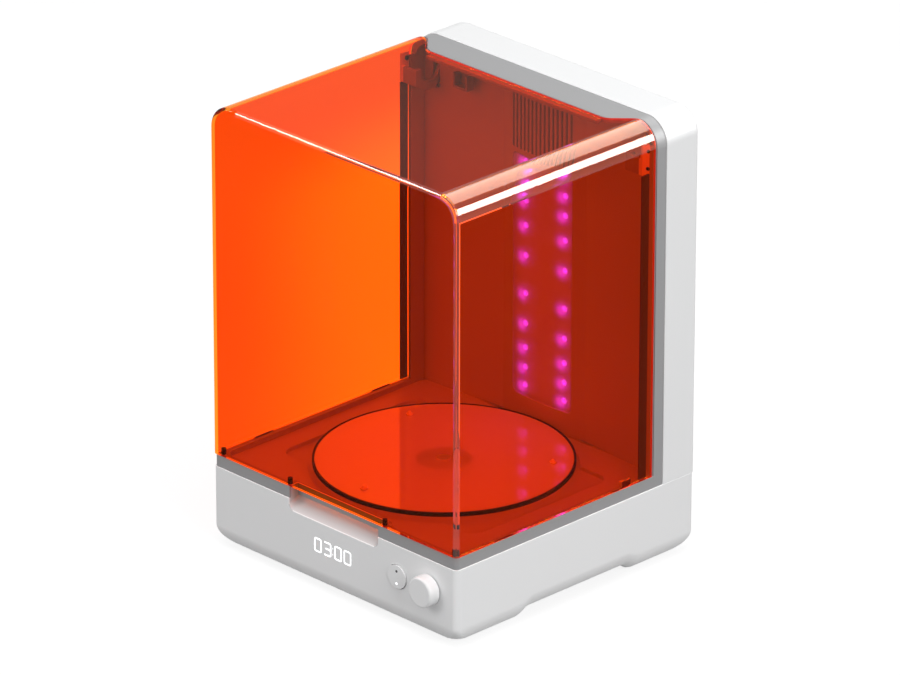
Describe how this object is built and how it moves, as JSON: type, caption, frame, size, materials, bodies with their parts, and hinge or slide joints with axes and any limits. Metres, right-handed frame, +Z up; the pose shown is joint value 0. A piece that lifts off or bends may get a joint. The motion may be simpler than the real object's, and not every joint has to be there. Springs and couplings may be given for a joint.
{
  "type": "dental lab light curing unit",
  "caption": "Benchtop light curing unit: white base with display, button and knob, glass turntable in a lit chamber, and an amber hood hinged at the back.",
  "frame": {"origin": "on the table, under the middle of the whole unit's outline, the knob and the rear cover included", "axes": "+X to the right as the user faces the controls, +Y to the back, +Z up; the controls face -Y"},
  "size_m": [0.277, 0.29, 0.3825],
  "materials": {
    "white_shell": "smooth satin moulded white",
    "sheet_metal": "plain zinc-plated sheet",
    "plated_screw": "bright zinc plated",
    "black_rubber": "matte black rubber",
    "grey_frame": "fine matte moulded grey",
    "grey_liner": "fine matte moulded grey",
    "lamp_glass": "polished clear",
    "board_blue": "white solder mask on an aluminium core",
    "emitter": "lit violet lamp dome",
    "alu": "plain extruded",
    "dark_plastic": "matte black plastic",
    "steel": "brushed",
    "amber": "polished clear amber acrylic",
    "arm_plastic": "matte dark grey plastic",
    "black_screw": "blackened steel",
    "magnet": "nickel plated",
    "component": "moulded black",
    "table_glass": "polished clear glass",
    "clear_peg": "clear soft plastic",
    "bronze": "sintered bronze",
    "motor_metal": "plain metal can",
    "board_green": "solder mask",
    "display_lit": "lit white",
    "button_white": "smooth white",
    "knob_white": "smooth white",
    "pin_brass": "plated"
  },
  "bodies": {
    "housing": {"base_shell": "white_shell", "bottom_plate": "sheet_metal", "bottom_screws": "plated_screw", "rubber_feet": "black_rubber", "chamber_rim": "grey_frame", "chamber_floor": "grey_liner", "chamber_back": "grey_liner", "rear_housing": "white_shell", "rear_cover": "white_shell", "rear_cover_screws": "plated_screw", "lamp_window": "lamp_glass", "lamp_board": "board_blue", "lamp_emitters": "emitter", "lamp_heat_sink": "alu", "air_heater": "alu", "fan_frame": "dark_plastic", "temperature_sensor": "dark_plastic", "hinge_crossbar": "sheet_metal", "hinge_block_left": "steel", "hinge_block_right": "steel", "hinge_pins": "steel", "hood_sensor": "component", "hood_buffers": "black_rubber", "hood_rest_pads": "black_rubber", "shaft_bush": "bronze", "turntable_motor": "motor_metal", "motor_bracket": "sheet_metal", "motor_bracket_screws": "plated_screw", "power_supply": "sheet_metal", "main_board": "board_green", "board_parts": "component", "front_board": "board_green", "display_module": "component", "display_digits": "display_lit", "button_switch": "component", "encoder_body": "component", "mains_inlet": "dark_plastic", "inlet_pins": "pin_brass", "power_switch_frame": "dark_plastic"},
    "hood": {"hood": "amber", "hinge_arm_left": "arm_plastic", "hinge_arm_right": "arm_plastic", "hinge_screws": "black_screw", "hood_light_seal": "black_rubber", "hood_magnet": "magnet"},
    "turntable": {"turntable_glass": "table_glass", "turntable_ring": "black_rubber", "turntable_pegs": "clear_peg", "turntable_hub": "alu", "turntable_shaft": "steel"},
    "fan": {"fan_rotor": "dark_plastic"},
    "start_key": {"start_button": "button_white", "button_light": "display_lit", "switch_plunger": "steel"},
    "encoder": {"encoder_rotor": "steel"},
    "knob": {"control_knob": "knob_white", "encoder_shaft": "steel"},
    "rocker": {"power_rocker": "component"}
  },
  "joints": [
    {"name": "hood_hinge", "type": "hinge", "parent": "housing", "child": "hood", "pos_m": [0, 0.106, 0.3655], "axis": [-1, 0, 0], "range_deg": [0, 75]},
    {"name": "turntable_spin", "type": "hinge", "parent": "housing", "child": "turntable", "pos_m": [0, -0.0113, 0.08], "axis": [0, 0, 1], "continuous": true},
    {"name": "fan_spin", "type": "hinge", "parent": "housing", "child": "fan", "pos_m": [0, 0.115, 0.3326], "axis": [0, 1, 0], "continuous": true},
    {"name": "start_press", "type": "slide", "parent": "housing", "child": "start_key", "axis": [0, 1, 0], "range_m": [0, 0.0008], "stiffness_N_per_m": 1800, "springref_m": -0.0008},
    {"name": "knob_turn", "type": "hinge", "parent": "housing", "child": "encoder", "pos_m": [0.1083, -0.135, 0.045], "axis": [0, -1, 0], "continuous": true},
    {"name": "knob_press", "type": "slide", "parent": "encoder", "child": "knob", "axis": [0, 1, 0], "range_m": [0, 0.0005], "stiffness_N_per_m": 3000, "springref_m": -0.001},
    {"name": "power_rock", "type": "hinge", "parent": "housing", "child": "rocker", "pos_m": [-0.032, 0.1382, 0.112], "axis": [-1, 0, 0], "range_deg": [0, 14]}
  ]
}
